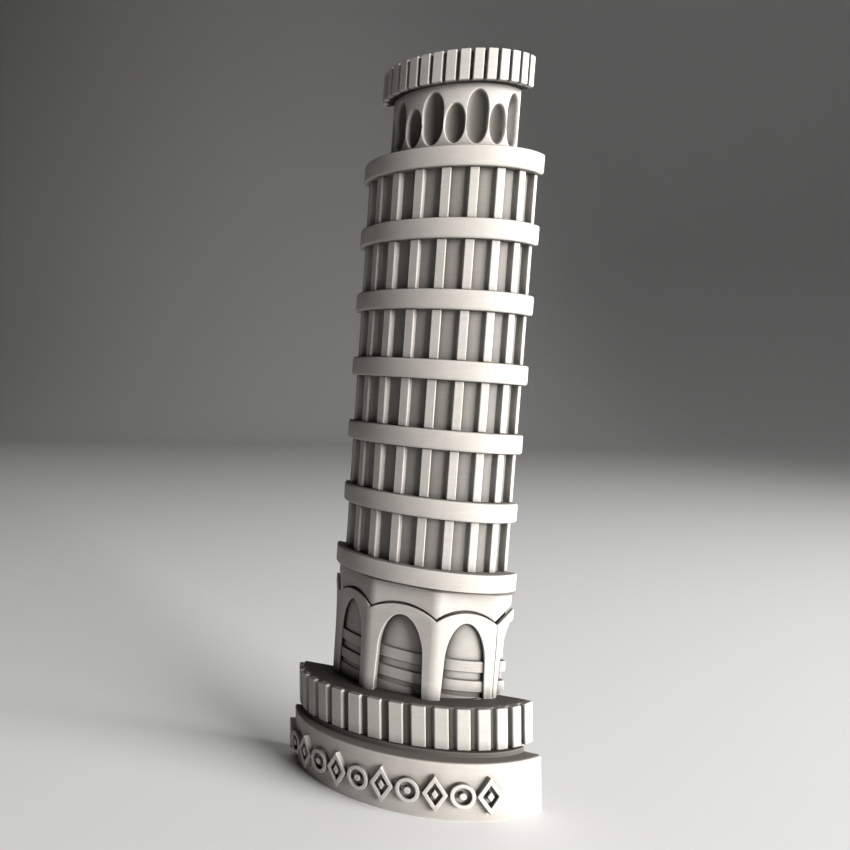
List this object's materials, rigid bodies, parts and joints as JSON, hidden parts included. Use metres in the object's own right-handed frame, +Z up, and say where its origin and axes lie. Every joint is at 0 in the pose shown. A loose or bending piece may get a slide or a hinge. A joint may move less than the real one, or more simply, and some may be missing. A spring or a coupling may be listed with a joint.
{
  "type": "miniature landmark relief",
  "caption": "Flat-backed keepsake relief of a leaning bell tower: arcaded ground storey, pillared galleries and belfry on a level, ornamented half-round base.",
  "frame": {"origin": "middle of the bottom edge of the flat back, where the base rests on a surface", "axes": "+Z up, -Y toward the viewer, so the flat back is the plane Y = 0, and +X is the side the tower leans to"},
  "size_m": [0.04, 0.0101, 0.1003],
  "materials": {
    "base_stone": "matt cast stone, warm light grey, fine horizontal lines",
    "ornament_stone": "matt cast stone, slightly rubbed on the raised faces",
    "cornice_stone": "matt cast stone, warm light grey",
    "core_stone": "matt cast stone, a little darker in the recesses",
    "relief_stone": "matt cast stone, warm light grey, fine horizontal lines"
  },
  "bodies": {
    "root": {"plinth": "base_stone", "frieze_lozenges": "ornament_stone", "frieze_roundels": "ornament_stone", "neck": "core_stone", "balustrade_ring": "core_stone", "balustrade_blocks": "relief_stone", "ground_core": "core_stone", "ground_band_1": "relief_stone", "ground_band_2": "relief_stone", "ground_band_3": "relief_stone", "arcade_shell": "relief_stone", "octagon_drum": "relief_stone", "octagon_cap": "cornice_stone", "cornice_1": "cornice_stone", "cornice_2": "cornice_stone", "cornice_3": "cornice_stone", "cornice_4": "cornice_stone", "cornice_5": "cornice_stone", "cornice_6": "cornice_stone", "cornice_7": "cornice_stone", "gallery_drum_1": "core_stone", "gallery_drum_2": "core_stone", "gallery_drum_3": "core_stone", "gallery_drum_4": "core_stone", "gallery_drum_5": "core_stone", "gallery_drum_6": "core_stone", "gallery_pilasters_1": "relief_stone", "gallery_pilasters_2": "relief_stone", "gallery_pilasters_3": "relief_stone", "gallery_pilasters_4": "relief_stone", "gallery_pilasters_5": "relief_stone", "gallery_pilasters_6": "relief_stone", "belfry_drum": "relief_stone", "crown_ring": "cornice_stone", "crown_blocks": "relief_stone"}
  },
  "joints": []
}
